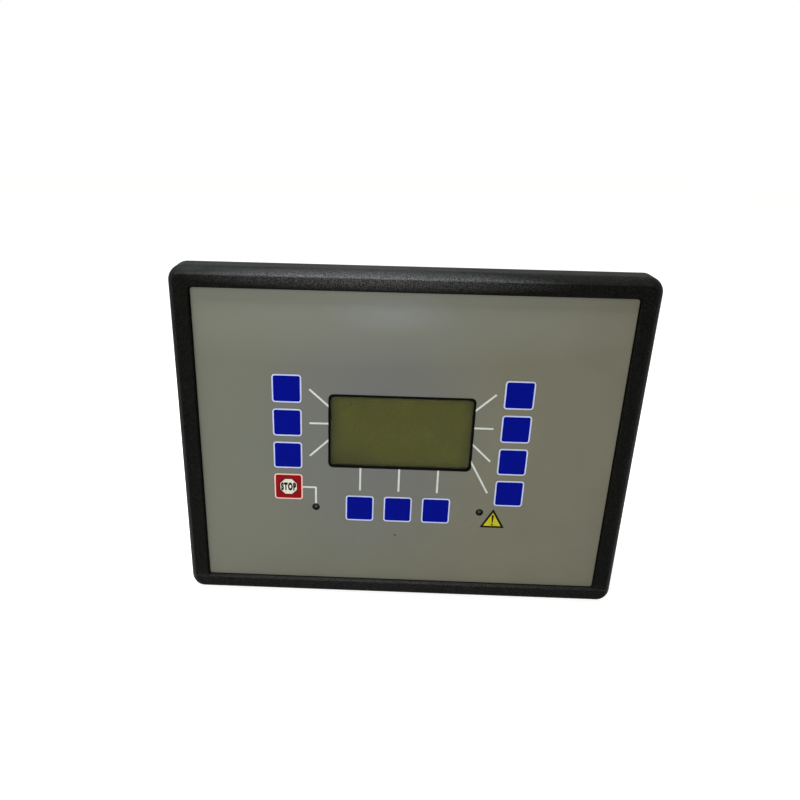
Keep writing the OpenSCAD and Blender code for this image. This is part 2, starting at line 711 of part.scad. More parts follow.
module buffer_capacitors() color([0.12, 0.14, 0.3]) stand() for (i = [0 : capacitor_count - 1])
    translate([capacitor_x + i * (capacitor_d + capacitor_gap), component_z, -main_board_back - capacitor_h])
        difference() {
            cylinder(d = capacitor_d, h = capacitor_h);
            for (a = [0, 90])
                rotate(a) translate([-score_l / 2, -score_w / 2, -eps]) cube([score_l, score_w, score_t]);
        }

module supply_choke() color([0.6, 0.35, 0.15]) stand()
    translate([choke_x, component_z, -main_board_back - choke_wire_r])
        rotate_extrude() translate([choke_r, 0]) union() {
            circle(choke_wire_r);
            translate([-choke_wire_r / 2, 0]) square([choke_wire_r, choke_wire_r]);
        }

module processor_chip() color([0.06, 0.06, 0.06]) stand() translate([chip_x, chip_z, 0])
    slab(chip_s, chip_s, part_r, -main_board_front, -main_board_front + chip_t);

module front_ribbon_socket() color([0.15, 0.15, 0.15]) stand() translate([keypad_x, ribbon_front_z, 0])
    slab(socket_w, socket_h, part_r, front_board_level - board_t - socket_d, front_board_level - board_t);

module main_ribbon_socket() color([0.15, 0.15, 0.15]) stand() translate([keypad_x, ribbon_main_z, 0])
    slab(socket_w, socket_h, part_r, -main_board_front, -main_board_front + socket_d);

// Quarter bend of the ribbon, from straight down to sideways
module ribbon_bend() intersection() {
    difference() {
        circle(ribbon_r + ribbon_t / 2);
        circle(ribbon_r - ribbon_t / 2);
    }
    square(2 * ribbon_r);
}

module ribbon_cable() color([0.6, 0.6, 0.62]) stand() {
    start = front_board_level - board_t - socket_d;
    end = -main_board_front + socket_d;
    middle = (start + end) / 2;
    translate([keypad_x - ribbon_w / 2, 0, 0]) rotate([90, 0, 90]) linear_extrude(ribbon_w) {
        translate([ribbon_front_z - ribbon_t / 2, middle + ribbon_r])
            square([ribbon_t, start - middle - ribbon_r]);
        translate([ribbon_front_z + ribbon_r, middle + ribbon_r]) rotate(180) ribbon_bend();
        translate([ribbon_front_z + ribbon_r, middle - ribbon_t / 2])
            square([ribbon_main_z - ribbon_front_z - 2 * ribbon_r, ribbon_t]);
        translate([ribbon_main_z - ribbon_r, middle - ribbon_r]) ribbon_bend();
        translate([ribbon_main_z - ribbon_t / 2, end]) square([ribbon_t, middle - ribbon_r - end]);
    }
}

module service_port() color([0.2, 0.2, 0.22]) stand() translate([port_x, port_z, 0]) difference() {
    slab(port_w, port_h, part_r, -header_end, -main_board_back);
    slab(port_w - 2 * port_wall, port_h - 2 * port_wall, part_r,
        -header_end - 1, -main_board_back - port_wall);
}

function terminal_length(t) = t[2] * t[3] + 2 * terminal_end;

// Moves to a terminal's place, with its screw side turned outwards
module at_terminal(t) translate([t[0], t[1], 0]) rotate(t[1] > 0 ? 0 : 180) children();

module terminal_header(t) color([0.1, 0.35, 0.15]) stand() at_terminal(t) {
    l = terminal_length(t);
    difference() {
        translate([-l / 2, -header_h / 2, -header_end]) cube([l, header_h, header_end - main_board_back]);
        translate([header_wall - l / 2, header_wall - header_h / 2, -header_end - 1])
            cube([l - 2 * header_wall, header_h - 2 * header_wall,
                header_end + 1 - main_board_back - header_floor]);
    }
}

// Places of a terminal's poles along its length
function poles(t) = [for (i = [0 : t[3] - 1]) (i - (t[3] - 1) / 2) * t[2]];

module terminal_plug(t) color([0.12, 0.45, 0.2]) stand() at_terminal(t) {
    l = terminal_length(t);
    end = header_end + plug_d;
    nose_l = l - 2 * header_wall - 2 * slip;
    nose_h = header_h - 2 * header_wall - 2 * slip;
    difference() {
        union() {
            translate([-l / 2, 0, 0]) rotate([90, 0, 90]) linear_extrude(l) polygon([
                [-plug_h / 2, -header_end], [plug_h / 2, -header_end], [plug_h / 2, plug_slope_d - end],
                [plug_h / 2 - plug_slope_h, -end], [-plug_h / 2, -end]]);
            translate([-nose_l / 2, -nose_h / 2, -header_end - eps])
                cube([nose_l, nose_h, header_end + eps - main_board_back - header_floor]);
        }
        for (x = poles(t)) translate([x, 0, 0]) {
            translate([-entry_s / 2, -entry_down - entry_s / 2, -end - 1])
                cube([entry_s, entry_s, entry_l + 1]);
            translate([0, plug_h / 2 - screw_pocket, -screw_level]) rotate([-90, 0, 0])
                cylinder(d = terminal_screw_d + 2 * slip, h = screw_pocket + 1);
        }
    }
}

module terminal_screws() color("silver") stand() for (t = TERMINALS) at_terminal(t) for (x = poles(t))
    translate([x, plug_h / 2 - screw_pocket, -screw_level]) rotate([-90, 0, 0]) difference() {
        cylinder(d = terminal_screw_d, h = terminal_screw_h);
        translate([-terminal_screw_d, -screw_slot_w / 2, terminal_screw_h - screw_slot_t])
            cube([2 * terminal_screw_d, screw_slot_w, screw_pocket]);
    }

front_frame();
front_overlay();
display_window();
for (k = KEYS) push_key(k);
for (l = LAMPS) lamp(l);
display_frame();
display_cell();
display_back_light();
display_board();
display_screws();
front_board();
key_switches();
front_board_screws();
mounting_flange();
panel_seal();
threaded_inserts();
frame_screws();
housing_body();
rear_cover();
rear_hood();
cover_screws();
main_board();
main_board_screws();
output_relays();
measuring_transformers();
buffer_capacitors();
supply_choke();
processor_chip();
ribbon_cable();
front_ribbon_socket();
main_ribbon_socket();
service_port();
for (i = [0 : len(TERMINALS) - 1])
    terminal_header(TERMINALS[i]);
for (i = [0 : len(TERMINALS) - 1])
    terminal_plug(TERMINALS[i]);
terminal_screws();
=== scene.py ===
"""Looks of a panel-mounted genset controller: finishes, printed overlay, display and stage."""

import math

import bmesh
import bpy
from bpy.props import FloatProperty, FloatVectorProperty, PointerProperty
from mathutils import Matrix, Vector


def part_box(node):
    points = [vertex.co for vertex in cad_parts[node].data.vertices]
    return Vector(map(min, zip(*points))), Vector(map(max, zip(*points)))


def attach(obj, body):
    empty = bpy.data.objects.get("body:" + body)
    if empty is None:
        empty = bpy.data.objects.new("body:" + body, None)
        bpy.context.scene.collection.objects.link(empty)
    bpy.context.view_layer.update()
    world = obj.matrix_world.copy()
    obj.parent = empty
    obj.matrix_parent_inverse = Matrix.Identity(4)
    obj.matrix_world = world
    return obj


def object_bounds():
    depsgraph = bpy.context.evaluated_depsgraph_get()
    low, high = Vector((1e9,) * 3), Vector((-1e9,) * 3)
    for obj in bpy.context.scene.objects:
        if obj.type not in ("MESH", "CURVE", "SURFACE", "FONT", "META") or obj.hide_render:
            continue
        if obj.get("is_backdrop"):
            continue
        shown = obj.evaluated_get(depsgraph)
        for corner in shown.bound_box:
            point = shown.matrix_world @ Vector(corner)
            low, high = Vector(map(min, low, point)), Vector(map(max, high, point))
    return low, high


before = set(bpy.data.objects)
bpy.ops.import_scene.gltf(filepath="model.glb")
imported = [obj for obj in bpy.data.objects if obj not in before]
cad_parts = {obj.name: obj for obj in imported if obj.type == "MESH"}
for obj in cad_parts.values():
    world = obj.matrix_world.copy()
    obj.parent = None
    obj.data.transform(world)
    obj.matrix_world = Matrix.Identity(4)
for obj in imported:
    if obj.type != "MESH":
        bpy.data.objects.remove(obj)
CAD_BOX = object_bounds()

bl_info = {
    "name": "Genset controller",
    "version": (1, 0, 0),
    "blender": (4, 5, 0),
    "location": "View3D > Sidebar > Controller",
    "description": "Dresses the controller's frame with its finishes and its printed front",
    "category": "Object",
}

HOUSING = "housing"
STOP_KEY = "stop_key"
LEFT_KEYS = ("left_key_1", "left_key_2", "left_key_3")
RIGHT_KEYS = ("right_key_1", "right_key_2", "right_key_3", "right_key_4")
BOTTOM_KEYS = ("bottom_key_1", "bottom_key_2", "bottom_key_3")
BLUE_KEYS = LEFT_KEYS + RIGHT_KEYS + BOTTOM_KEYS
MM = 0.001
# Steps of a large and of a small round corner
ROUND_STEPS = 8
POINT_STEPS = 4


def mm(*values):
    """Millimetres as metres."""
    return tuple(value * MM for value in values)


def srgb(red, green, blue):
    """A colour as a screen shows it, 0 to 255, as linear values."""
    shares = (red / 255, green / 255, blue / 255)
    return tuple(c / 12.92 if c <= 0.04045 else ((c + 0.055) / 1.055) ** 2.4 for c in shares)


def length(name, about, default):
    """A size in metres that a user may change."""
    return FloatProperty(
        name=name, description=about, default=default, min=0.0, subtype="DISTANCE", unit="LENGTH")


def colour(name, about, default):
    """A linear colour that a user may change."""
    return FloatVectorProperty(
        name=name, description=about, default=default, size=3, min=0.0, max=1.0, subtype="COLOR")


def power(name, about, default):
    """A light's power in watts that a user may change."""
    return FloatProperty(
        name=name, description=about, default=default, min=0.0, subtype="POWER", unit="POWER")


class PrintSizes(bpy.types.PropertyGroup):
    """Sizes of what is printed on the front."""

    ink_depth: length("Ink depth", "Thickness of one printed layer", 0.03 * MM)
    corner: length("Field corner", "Corner radius of a key's coloured field", 1.2 * MM)
    key_border: length("Key border", "Width of the pale border around a key's field", 0.85 * MM)
    line_width: length("Line width", "Width of a guide line", 1.2 * MM)
    line_gap: length("Line gap", "Room between a guide line and its key", 4.75 * MM)
    lamp_line_end: length("Lamp line end", "Room between the stop line and its lamp hole", 0.3 * MM)
    lamp_hole: length("Lamp hole", "Diameter of a lamp's hole", 4.9 * MM)
    octagon: length("Stop sign", "Width of the stop sign across its flats", 10.5 * MM)
    octagon_line: length("Stop sign line", "Width of the stop sign's dark line", 0.5 * MM)
    word_width: length("Stop word width", "Width of the word on the stop key", 9.7 * MM)
    word_height: length("Stop word height", "Height of the word on the stop key", 5.7 * MM)
    triangle: length("Alarm mark", "Side of the alarm triangle", 15.8 * MM)
    triangle_line: length("Alarm mark line", "Width of the triangle's dark line", 1.35 * MM)
    window_border: length("Window border", "Width of the dark border of the window", 1.4 * MM)
    window_corner: length("Window corner", "Corner radius of the window", 3.15 * MM)
    border_corner: length("Border corner", "Inner corner radius of the window's border", 2.6 * MM)
    film_depth: length("Display film depth", "Thickness of the display's front film", 0.1 * MM)
    film_room: length("Display film room", "Room around the display's front film", 0.1 * MM)
    lamp_ring: length("Lamp ring", "Width of the dark ring around a lamp", 0.8 * MM)
    overlay_corner: length("Overlay corner", "Corner radius of the overlay", 2.0 * MM)
    # The dark line along the overlay's edge is a painted shadow of the gap between the overlay and the
    # bezel
    overlay_shadow_line: length("Overlay line", "Width of the dark line along the overlay's edge", 0.5 * MM)


class PrintColours(bpy.types.PropertyGroup):
    """Colours of what is printed on the front."""

    overlay: colour("Overlay", "Warm grey of the film", srgb(114, 111, 95))
    key_blue: colour("Key blue", "Blue of a key's field", srgb(0, 11, 127))
    key_edge: colour("Key edge", "Pale border of a blue key", srgb(196, 200, 232))
    stop_red: colour("Stop red", "Red of the stop key's field", srgb(138, 14, 20))
    stop_edge: colour("Stop edge", "Pale border of the stop key", srgb(232, 190, 182))
    sign_line: colour("Sign line", "Dark red of the stop sign's line", srgb(24, 6, 5))
    sign_white: colour("Sign white", "Cream white of the stop sign", srgb(220, 212, 196))
    line_white: colour("Line white", "White of the guide lines", srgb(204, 207, 198))
    ink_black: colour("Ink black", "Black ink", srgb(8, 8, 6))
    alarm_yellow: colour("Alarm yellow", "Yellow of the alarm mark", srgb(190, 181, 34))
    alarm_line: colour("Alarm line", "Brown black of the alarm mark's lines", srgb(24, 20, 8))
    display: colour("Display", "Olive of the display, switched off", srgb(64, 64, 19))


class BodyColours(bpy.types.PropertyGroup):
    """Colours of the casing, the terminals and what the casing holds."""

    frame_black: colour("Frame black", "Black of the moulded front frame", srgb(9, 9, 7))
    housing_black: colour("Housing black", "Black of the rear housing", srgb(25, 25, 25))
    rubber: colour("Rubber", "Dark grey of the panel seal", srgb(42, 42, 44))
    zinc: colour("Zinc", "Plated screws", srgb(190, 190, 186))
    brass: colour("Brass", "Threaded inserts", srgb(196, 160, 92))
    terminal_green: colour("Terminal green", "Green of the terminal blocks", srgb(33, 102, 55))
    board_green: colour("Board green", "Solder mask of the boards", srgb(18, 84, 46))


class StageSettings(bpy.types.PropertyGroup):
    """Camera and light."""

    camera_place: FloatVectorProperty(
        name="Camera place", description="Where the camera stands", size=3,
        default=(-0.01586, -0.43731, 0.18911), subtype="TRANSLATION", unit="LENGTH")
    camera_turn: FloatVectorProperty(
        name="Camera turn", description="How the camera is turned", size=3,
        default=(math.radians(66.239), math.radians(-1.118), math.radians(2.092)),
        subtype="EULER", unit="ROTATION")
    lens: FloatProperty(
        name="Lens", description="Focal length on a 36 mm wide sensor", default=33.48,
        subtype="DISTANCE_CAMERA", unit="CAMERA")
    shift_x: FloatProperty(name="Shift x", description="Sideways shift of the picture", default=0.0482)
    shift_y: FloatProperty(name="Shift y", description="Upward shift of the picture", default=0.0515)
    top_light: power("Top light", "Power of the soft light above", 20.0)
    front_light: power("Front light", "Power of the soft light in front", 11.5)
    ambient: FloatProperty(name="Ambient", description="Light from all around", default=0.27, min=0.0)


def only(obj):
    """Leaves one object selected and active."""
    bpy.ops.object.select_all(action="DESELECT")
    obj.select_set(True)
    bpy.context.view_layer.objects.active = obj


def edit(obj):
    """Opens one object in edit mode with all of it selected."""
    only(obj)
    bpy.ops.object.mode_set(mode="EDIT")
    bpy.ops.mesh.select_all(action="SELECT")


def close(obj):
    """Leaves edit mode with faces pointing outwards and the place of the object in its mesh."""
    bpy.ops.mesh.select_all(action="SELECT")
    bpy.ops.mesh.normals_make_consistent(inside=False)
    bpy.ops.object.mode_set(mode="OBJECT")
    settle(obj)


def settle(obj):
    """Moves an object's place, turn and size into its mesh."""
    only(obj)
    bpy.ops.object.transform_apply(location=True, rotation=True, scale=True)


def pick(obj, kind, test):
    """Selects the corners, edges or faces of the mesh in edit mode whose middle passes a test."""
    bpy.ops.mesh.select_mode(type=kind)
    bpy.ops.mesh.select_all(action="DESELECT")
    mesh = bmesh.from_edit_mesh(obj.data)
    for item in {"VERT": mesh.verts, "EDGE": mesh.edges, "FACE": mesh.faces}[kind]:
        corners = [item] if kind == "VERT" else item.verts
        middle = sum((v.co for v in corners), Vector()) / len(corners)
        item.select_set(test(middle))
    bmesh.update_edit_mesh(obj.data)


def middle_of(node):
    """Middle of a node's box."""
    low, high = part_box(node)
    return (low + high) / 2


def front_middle(node):
    """Middle of the front face of a node's box."""
    low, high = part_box(node)
    return Vector(((low.x + high.x) / 2, low.y, (low.z + high.z) / 2))


def front_of(node):
    """The plane of a node's front face, which looks along -Y."""
    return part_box(node)[0].y


def flat_start(name, kind, place, **shape):
    """A flat primitive that looks along -Y, at a place, as the start of a printed layer."""
    bpy.ops.object.select_all(action="DESELECT")
    kind(location=place, rotation=(math.pi / 2, 0, 0), **shape)
    obj = bpy.context.active_object
    obj.name = name
    obj.data.name = name
    return obj


def ink_layer(obj, depth):
    """Thickens a flat print in edit mode towards the viewer."""
    bpy.ops.mesh.select_all(action="SELECT")
    bpy.ops.mesh.extrude_region_move(TRANSFORM_OT_translate={"value": (0, -depth, 0)})
    close(obj)


def round_corners(radius, steps):
    """Rounds the selected corners of a flat print in edit mode."""
    bpy.ops.mesh.bevel(offset=radius, offset_type="OFFSET", segments=steps, affect="VERTICES")


def leave_rim(obj, width):
    """Opens a flat print in edit mode, all but a rim of the given width."""
    pick(obj, "FACE", lambda middle: True)
    bpy.ops.mesh.inset(thickness=width, depth=0)
    bpy.ops.mesh.delete(type="FACE")


def rounded_plate(name, place, width, height, corner, depth, rim=0.0):
    """A printed rectangle with round corners, or only its rim where that has a width."""
    obj = flat_start(name, bpy.ops.mesh.primitive_plane_add, place, size=1)
    obj.scale = (width, height, 1)
    settle(obj)
    edit(obj)
    round_corners(corner, ROUND_STEPS)
    if rim:
        leave_rim(obj, rim)
    ink_layer(obj, depth)
    return obj


def rounded_ring(name, place, outer, inner, depth):
    """A printed frame between two round-cornered rectangles, each given as width, height and corner."""
    obj = flat_start(name, bpy.ops.mesh.primitive_plane_add, place, size=1)
    edit(obj)
    bpy.ops.transform.resize(value=(outer[0], 1, outer[1]), center_override=place)
    round_corners(outer[2], ROUND_STEPS)
    bpy.ops.mesh.select_all(action="DESELECT")
    bpy.ops.mesh.primitive_plane_add(size=1, location=place, rotation=(math.pi / 2, 0, 0))
    bpy.ops.transform.resize(value=(inner[0], 1, inner[1]), center_override=place)
    round_corners(inner[2], ROUND_STEPS)
    bpy.ops.mesh.select_all(action="SELECT")
    bpy.ops.mesh.delete(type="ONLY_FACE")
    bpy.ops.mesh.select_all(action="SELECT")
    bpy.ops.mesh.bridge_edge_loops()
    ink_layer(obj, depth)
    return obj


def disc_start(name, place, corners, radius):
    """A flat filled circle or regular polygon that looks along -Y."""
    return flat_start(
        name, bpy.ops.mesh.primitive_circle_add, place, vertices=corners, radius=radius, fill_type="NGON")


def polygon_plate(name, place, corners, width, depth, round_off):
    """A printed regular polygon on a side, sized across its flats if even and by its side if odd."""
    half_turn = math.pi / corners
    even = corners % 2 == 0
    share = math.cos(half_turn) if even else math.sin(half_turn)
    obj = disc_start(name, place, corners, width / (2 * share))
    if even:
        obj.rotation_euler.rotate_axis("Z", half_turn)
    settle(obj)
    edit(obj)
    round_corners(round_off, POINT_STEPS)
    ink_layer(obj, depth)
    return obj


def strip(name, start, end, width, depth):
    """A printed straight line between two places on the front."""
    way = end - start
    obj = flat_start(name, bpy.ops.mesh.primitive_plane_add, (start + end) / 2, size=1)
    obj.scale = (way.length, width, 1)
    obj.rotation_euler.rotate_axis("Z", math.atan2(way.z, way.x))
    settle(obj)
    edit(obj)
    ink_layer(obj, depth)
    return obj


def trim(obj, place, outward):
    """Cuts off what lies beyond a plane and closes the cut."""
    edit(obj)
    bpy.ops.mesh.bisect(plane_co=place, plane_no=outward, use_fill=True, clear_outer=True)
    close(obj)


def join(name, objects):
    """Makes one piece of several objects."""
    bpy.ops.object.select_all(action="DESELECT")
    for obj in objects:
        obj.select_set(True)
    bpy.context.view_layer.objects.active = objects[0]
    bpy.ops.object.join()
    objects[0].name = name
    objects[0].data.name = name
    return objects[0]


def copy_of(obj, name, shift):
    """A copy of a finished piece with a mesh of its own, moved by a shift."""
    only(obj)
    bpy.ops.object.duplicate(linked=False)
    copy = bpy.context.active_object
    copy.name = name
    copy.data.name = name
    copy.location = shift
    settle(copy)
    return copy


def place_piece(obj, body, material):
    """Gives a finished piece its body and its material."""
    obj.data.materials.clear()
    obj.data.materials.append(material)
    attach(obj, body)


class Finish:
    """A material whose textures read Object coordinates and feed one Principled shader."""

    def __init__(self, name, base, roughness, metallic=0.0, specular=0.5):
        self.material = bpy.data.materials.new(name)
        self.material.use_nodes = True
        self.tree = self.material.node_tree
        self.tree.nodes.clear()
        self.shader = self.tree.nodes.new("ShaderNodeBsdfPrincipled")
        output = self.tree.nodes.new("ShaderNodeOutputMaterial")
        self.link(self.shader.outputs["BSDF"], output.inputs["Surface"])
        self.place = self.tree.nodes.new("ShaderNodeTexCoord").outputs["Object"]
        self.base = tuple(base)
        self.set("Base Color", (*base, 1))
        self.set("Roughness", roughness)
        self.set("Metallic", metallic)
        self.set("Specular IOR Level", specular)

    def set(self, socket, value):
        """Sets one of the shader's own values."""
        self.shader.inputs[socket].default_value = value

    def link(self, source, target):
        """Joins an output to an input."""
        self.tree.links.new(source, target)

    def noise(self, size, detail=2.0, roughness=0.5, stretch=(1, 1, 1)):
        """Noise whose grains are about the given size, stretched along the axes."""
        turn = self.tree.nodes.new("ShaderNodeMapping")
        turn.inputs["Scale"].default_value = tuple(1 / s for s in stretch)
        self.link(self.place, turn.inputs["Vector"])
        node = self.tree.nodes.new("ShaderNodeTexNoise")
        node.inputs["Scale"].default_value = 1 / size
        node.inputs["Detail"].default_value = detail
        node.inputs["Roughness"].default_value = roughness
        self.link(turn.outputs["Vector"], node.inputs["Vector"])
        return node.outputs["Fac"]

    def spot(self, middle, reach):
        """1 at a place and 0 from an oval around it outwards, whatever the depth."""
        turn = self.tree.nodes.new("ShaderNodeMapping")
        turn.vector_type = "TEXTURE"
        turn.inputs["Location"].default_value = (middle[0], 0, middle[1])
        turn.inputs["Scale"].default_value = (reach[0], 1, reach[1])
        self.link(self.place, turn.inputs["Vector"])
        node = self.tree.nodes.new("ShaderNodeTexGradient")
        node.gradient_type = "SPHERICAL"
        self.link(turn.outputs["Vector"], node.inputs["Vector"])
        return node.outputs["Fac"]

    def mix(self, share, under, over):
        """Lays a colour over another by a share, and makes the result the base colour."""
        node = self.tree.nodes.new("ShaderNodeMix")
        node.data_type = "RGBA"
        for value, name in ((share, "Factor"), (under, "A"), (over, "B")):
            socket = node.inputs[name]
            if isinstance(value, bpy.types.NodeSocket):
                self.link(value, socket)
            else:
                socket.default_value = (*value, 1) if isinstance(value, tuple) else value
        self.link(node.outputs["Result"], self.shader.inputs["Base Color"])
        return node.outputs["Result"]

    def ramp(self, source, low, high, start, end):
        """A grey or coloured run from one value to another over a stretch of a texture."""
        node = self.tree.nodes.new("ShaderNodeValToRGB")
        node.color_ramp.elements[0].position = start
        node.color_ramp.elements[1].position = end
        node.color_ramp.elements[0].color = (*low, 1)
        node.color_ramp.elements[1].color = (*high, 1)
        self.link(source, node.inputs["Fac"])
        return node.outputs["Color"]

    def tint(self, source, darker, lighter, start=0.3, end=0.7):
        """Lets the base colour run between a darker and a lighter share of itself."""
        low = tuple(c * darker for c in self.base)
        high = tuple(min(c * lighter, 1) for c in self.base)
        result = self.ramp(source, low, high, start, end)
        self.link(result, self.shader.inputs["Base Color"])
        return result

    def gloss(self, source, low, high, start=0.3, end=0.7):
        """Lets the roughness run between two values."""
        result = self.ramp(source, (low,) * 3, (high,) * 3, start, end)
        self.link(result, self.shader.inputs["Roughness"])

    def bump(self, source, depth, strength=1.0):
        """Raises the surface by a texture."""
        node = self.tree.nodes.new("ShaderNodeBump")
        node.inputs["Strength"].default_value = strength
        node.inputs["Distance"].default_value = depth
        self.link(source, node.inputs["Height"])
        self.link(node.outputs["Normal"], self.shader.inputs["Normal"])


BLACK = (0.0, 0.0, 0.0)
# Dark and pale ends of the grain where a highlight is painted into the bezel's colour
HIGHLIGHT_GRAIN_DARK = srgb(36, 35, 35)
HIGHLIGHT_GRAIN_GREY = srgb(108, 105, 104)


def grained_plastic(name, base, grain, depth, specular, speck, highlights=()):
    """Moulded plastic with an eroded grain whose peaks are lighter, and paler still where a highlight is
    painted into its colour.
    """
    finish = Finish(name, base, roughness=0.55, specular=specular)
    speckle = finish.noise(grain, detail=1.0, roughness=0.6)
    grained = finish.tint(speckle, darker=0.25, lighter=speck, start=0.48, end=0.7)
    # Painted highlights: where light would catch the bezel, its grain is laid paler
    for middle, reach, most in highlights:
        share = finish.ramp(finish.spot(middle, reach), BLACK, (most,) * 3, start=0.0, end=1.0)
        sheen = finish.ramp(speckle, HIGHLIGHT_GRAIN_DARK, HIGHLIGHT_GRAIN_GREY, start=0.43, end=0.69)
        grained = finish.mix(share, grained, sheen)
    finish.gloss(finish.noise(30 * MM), low=0.5, high=0.6)
    finish.bump(speckle, depth, strength=0.8)
    return finish.material


def printed_film(name, base, roughness=0.45, specular=0.03):
    """Ink behind a satin film with a very fine tooth."""
    finish = Finish(name, base, roughness, specular=specular)
    finish.tint(finish.noise(6 * MM, detail=3.0), darker=0.93, lighter=1.07)
    finish.bump(finish.noise(0.25 * MM, detail=1.0), depth=0.004 * MM, strength=0.5)
    return finish.material


def smooth_moulding(name, base, roughness=0.38, specular=0.45):
    """Small smooth moulding, such as a terminal block or a socket."""
    finish = Finish(name, base, roughness, specular=specular)
    finish.tint(finish.noise(8 * MM, detail=2.0), darker=0.9, lighter=1.1)
    finish.gloss(finish.noise(3 * MM), low=roughness - 0.06, high=roughness + 0.08)
    finish.bump(finish.noise(0.5 * MM, detail=2.0), depth=0.01 * MM, strength=0.4)
    return finish.material


def plated_metal(name, base, roughness=0.3):
    """Turned and plated metal with faint tool marks."""
    finish = Finish(name, base, roughness, metallic=1.0)
    finish.tint(finish.noise(1.5 * MM, detail=3.0), darker=0.85, lighter=1.0)
    finish.gloss(finish.noise(0.8 * MM, detail=3.0), low=roughness - 0.08, high=roughness + 0.14)
    finish.bump(finish.noise(0.3 * MM, stretch=(1, 0.1, 1)), depth=0.006 * MM, strength=0.4)
    return finish.material


def paint_nodes(material, *nodes):
    """Gives whole frame nodes one material."""
    for node in nodes:
        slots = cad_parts[node].material_slots
        if not slots:
            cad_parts[node].data.materials.append(material)
        for slot in slots:
            slot.material = material


class CONTROLLER_OT_casing(bpy.types.Operator):
    """Finish the bezel, the housing, the seal, the inserts and the screws"""

    bl_idname = "controller.casing"
    bl_label = "Casing"

    # Middle and reach, sideways and up, of each painted highlight on the bezel, where its grain is laid
    # paler, and its share there: the top bar, its ridge, the bottom bar, the bottom bar's inner edge and
    # the right side's outer slope
    PAINTED_HIGHLIGHTS = (
        (mm(-20, 103), mm(115, 6), 0.85),
        (mm(-30, 104.7), mm(120, 1.8), 0.6),
        (mm(-10, -101), mm(250, 11), 0.15),
        (mm(-10, -97.6), mm(250, 1.2), 0.4),
        (mm(138.5, 0), mm(4, 150), 0.16))

    def execute(self, context):
        paint = context.scene.controller_body
        paint_nodes(
            grained_plastic(
                "frame_plastic", paint.frame_black, grain=0.45 * MM, depth=0.08 * MM, specular=0.03,
                speck=5.5, highlights=self.PAINTED_HIGHLIGHTS),
            "front_frame")
        paint_nodes(
            grained_plastic(
                "housing_plastic", paint.housing_black, grain=0.6 * MM, depth=0.04 * MM, specular=0.35,
                speck=2.0),
            "mounting_flange", "housing_body", "rear_cover", "rear_hood")
        rubber = Finish("seal_rubber", paint.rubber, roughness=0.75, specular=0.25)
        rubber.tint(rubber.noise(2 * MM, detail=3.0), darker=0.8, lighter=1.2)
        rubber.bump(rubber.noise(0.4 * MM), depth=0.03 * MM, strength=0.5)
        paint_nodes(rubber.material, "panel_seal")
        paint_nodes(plated_metal("insert_brass", paint.brass), "threaded_inserts")
        paint_nodes(
            plated_metal("screw_zinc", paint.zinc),
            "frame_screws", "cover_screws", "main_board_screws", "front_board_screws", "display_screws")
        return {"FINISHED"}


class CONTROLLER_OT_overlay(bpy.types.Operator):
    """Finish the overlay film with painted light and shade, and add the painted shadow line along its edge
    and its few specks
    """

    bl_idname = "controller.overlay"
    bl_label = "Overlay"

    # Middle and reach, sideways and up, of each place where light and shade are painted into the film's
    # grey, and the grey there: painted tints of the light over the left and the middle, a painted lighter
    # band along the top and a painted highlight near the top middle
    PAINTED_LIGHT = (
        (mm(-90, 0), mm(160, 250), srgb(110, 111, 99)),
        (mm(-20, 10), mm(75, 100), srgb(106, 106, 106)),
        (mm(-30, 95), mm(200, 45), srgb(127, 128, 117)),
        (mm(-12, 85), mm(40, 14), srgb(130, 132, 128)))
    # Place, sideways and up, and radius of each speck
    SPECKS = (mm(-4.9, -62.2, 0.55), mm(-3.9, -62.9, 0.4), mm(44.3, -55.1, 0.3), mm(-31.2, -65.8, 0.3))
    SPECK_BROWN = srgb(62, 58, 50)
    SPECK_CORNERS = 10
    SPECK_LEAN = Vector((0.5, 0, 0.35))
    SPECK_SQUASH = (1.3, 1, 0.7)

    def execute(self, context):
        sizes = context.scene.controller_print
        paint = context.scene.controller_ink
        self.specks(sizes, printed_film("speck_brown", self.SPECK_BROWN))
        low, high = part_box("front_overlay")
        # Painted shadow: a dark line along the overlay's edge stands for the shade in the gap between the
        # overlay and the bezel
        line = rounded_plate(
            "overlay_edge_shadow", front_middle("front_overlay"), high.x - low.x, high.z - low.z,
            sizes.overlay_corner, sizes.ink_depth, rim=sizes.overlay_shadow_line)
        black = printed_film("edge_shadow_black", paint.ink_black, roughness=0.5, specular=0.02)
        place_piece(line, HOUSING, black)
        film = Finish("overlay_film", paint.overlay, roughness=0.5, specular=0.1)
        shade = film.tint(film.noise(45 * MM, detail=3.0, roughness=0.55), darker=0.95, lighter=1.05)
        # Painted light and shade, laid over the film's own grey place by place
        for middle, reach, grey in self.PAINTED_LIGHT:
            shade = film.mix(film.spot(middle, reach), shade, grey)
        film.bump(film.noise(0.22 * MM, detail=1.0), depth=0.005 * MM, strength=0.6)
        paint_nodes(film.material, "front_overlay")
        return {"FINISHED"}

    def specks(self, sizes, material):
        """Small worn spots in the film, each a flat lopsided fleck."""
        front = front_of("front_overlay")
        for number, (x, z, radius) in enumerate(self.SPECKS, start=1):
            place = Vector((x, front, z))
            fleck = disc_start("overlay_speck_%d" % number, place, self.SPECK_CORNERS, radius)
            settle(fleck)
            edit(fleck)
            pick(fleck, "VERT", lambda m: m.x > place.x and m.z > place.z)
            bpy.ops.transform.translate(value=radius * self.SPECK_LEAN)
            bpy.ops.mesh.select_all(action="SELECT")
            bpy.ops.transform.resize(value=self.SPECK_SQUASH)
            ink_layer(fleck, sizes.ink_depth)
            place_piece(fleck, HOUSING, material)


